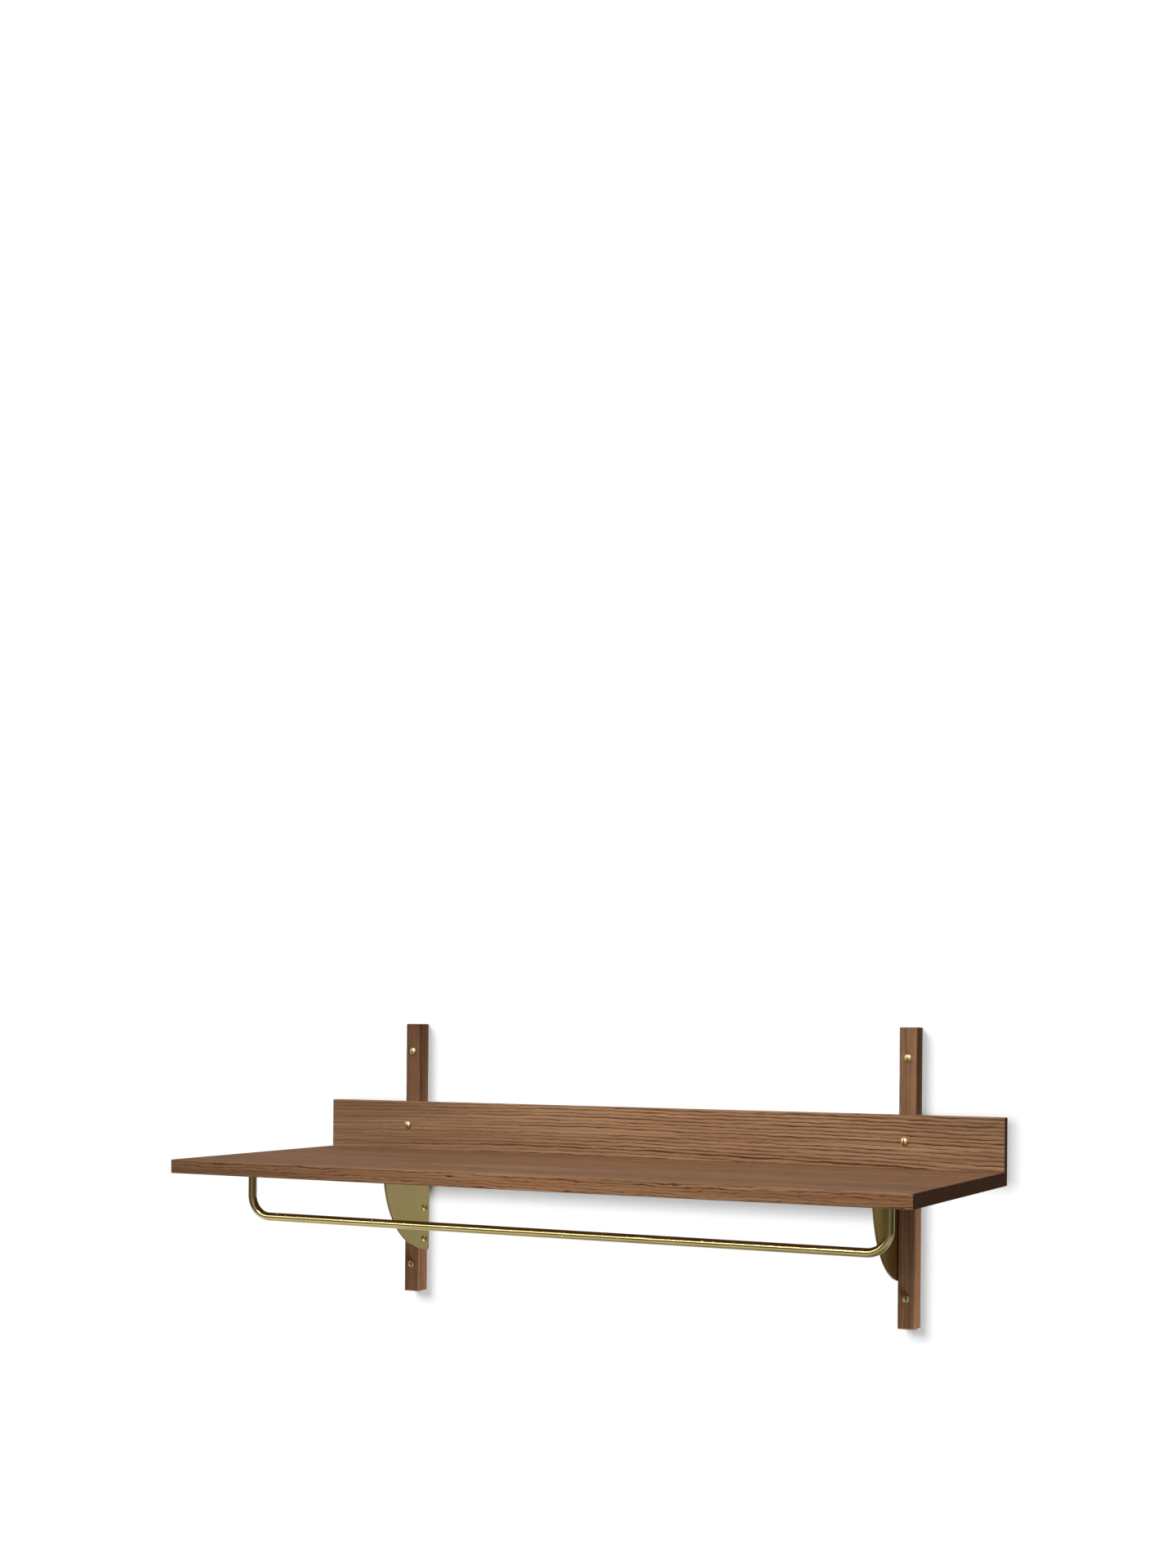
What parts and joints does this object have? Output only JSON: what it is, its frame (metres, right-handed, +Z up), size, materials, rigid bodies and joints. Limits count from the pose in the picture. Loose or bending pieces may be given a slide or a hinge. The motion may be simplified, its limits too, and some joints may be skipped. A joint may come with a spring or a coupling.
{
  "type": "wall shelf",
  "caption": "Wooden wall shelf with a low back board on two square battens, held by quarter-round metal brackets, with a U-shaped hanging rail under its front.",
  "frame": {"origin": "middle of the four wall screws, on the wall's surface", "axes": "+X along the shelf to the right as seen from the room, +Y into the wall, +Z up"},
  "size_m": [0.87, 0.395, 0.336],
  "materials": {
    "upright_wood": "smoked and oiled oak, grain upright",
    "board_wood": "smoked and oiled oak, grain along the board",
    "bracket_brass": "satin lacquered",
    "rail_brass": "fine brushed",
    "screw_brass": "turned and polished",
    "socket_steel": "zinc plated",
    "dowel_wood": "plain beech"
  },
  "bodies": {
    "root": {"left_upright": "upright_wood", "right_upright": "upright_wood", "back_board": "board_wood", "shelf_board": "board_wood", "left_bracket": "bracket_brass", "right_bracket": "bracket_brass", "hanging_rail": "rail_brass", "left_rail_socket": "socket_steel", "right_rail_socket": "socket_steel", "wall_screw_left_top": "screw_brass", "wall_screw_left_bottom": "screw_brass", "wall_screw_right_top": "screw_brass", "wall_screw_right_bottom": "screw_brass", "board_screw_left": "screw_brass", "board_screw_right": "screw_brass", "side_screw_left_top": "screw_brass", "side_screw_left_bottom": "screw_brass", "side_screw_right_top": "screw_brass", "side_screw_right_bottom": "screw_brass", "flange_screw_left_rear": "screw_brass", "flange_screw_left_front": "screw_brass", "flange_screw_right_rear": "screw_brass", "flange_screw_right_front": "screw_brass", "dowel_1": "dowel_wood", "dowel_2": "dowel_wood", "dowel_3": "dowel_wood", "dowel_4": "dowel_wood", "dowel_5": "dowel_wood"}
  },
  "joints": []
}
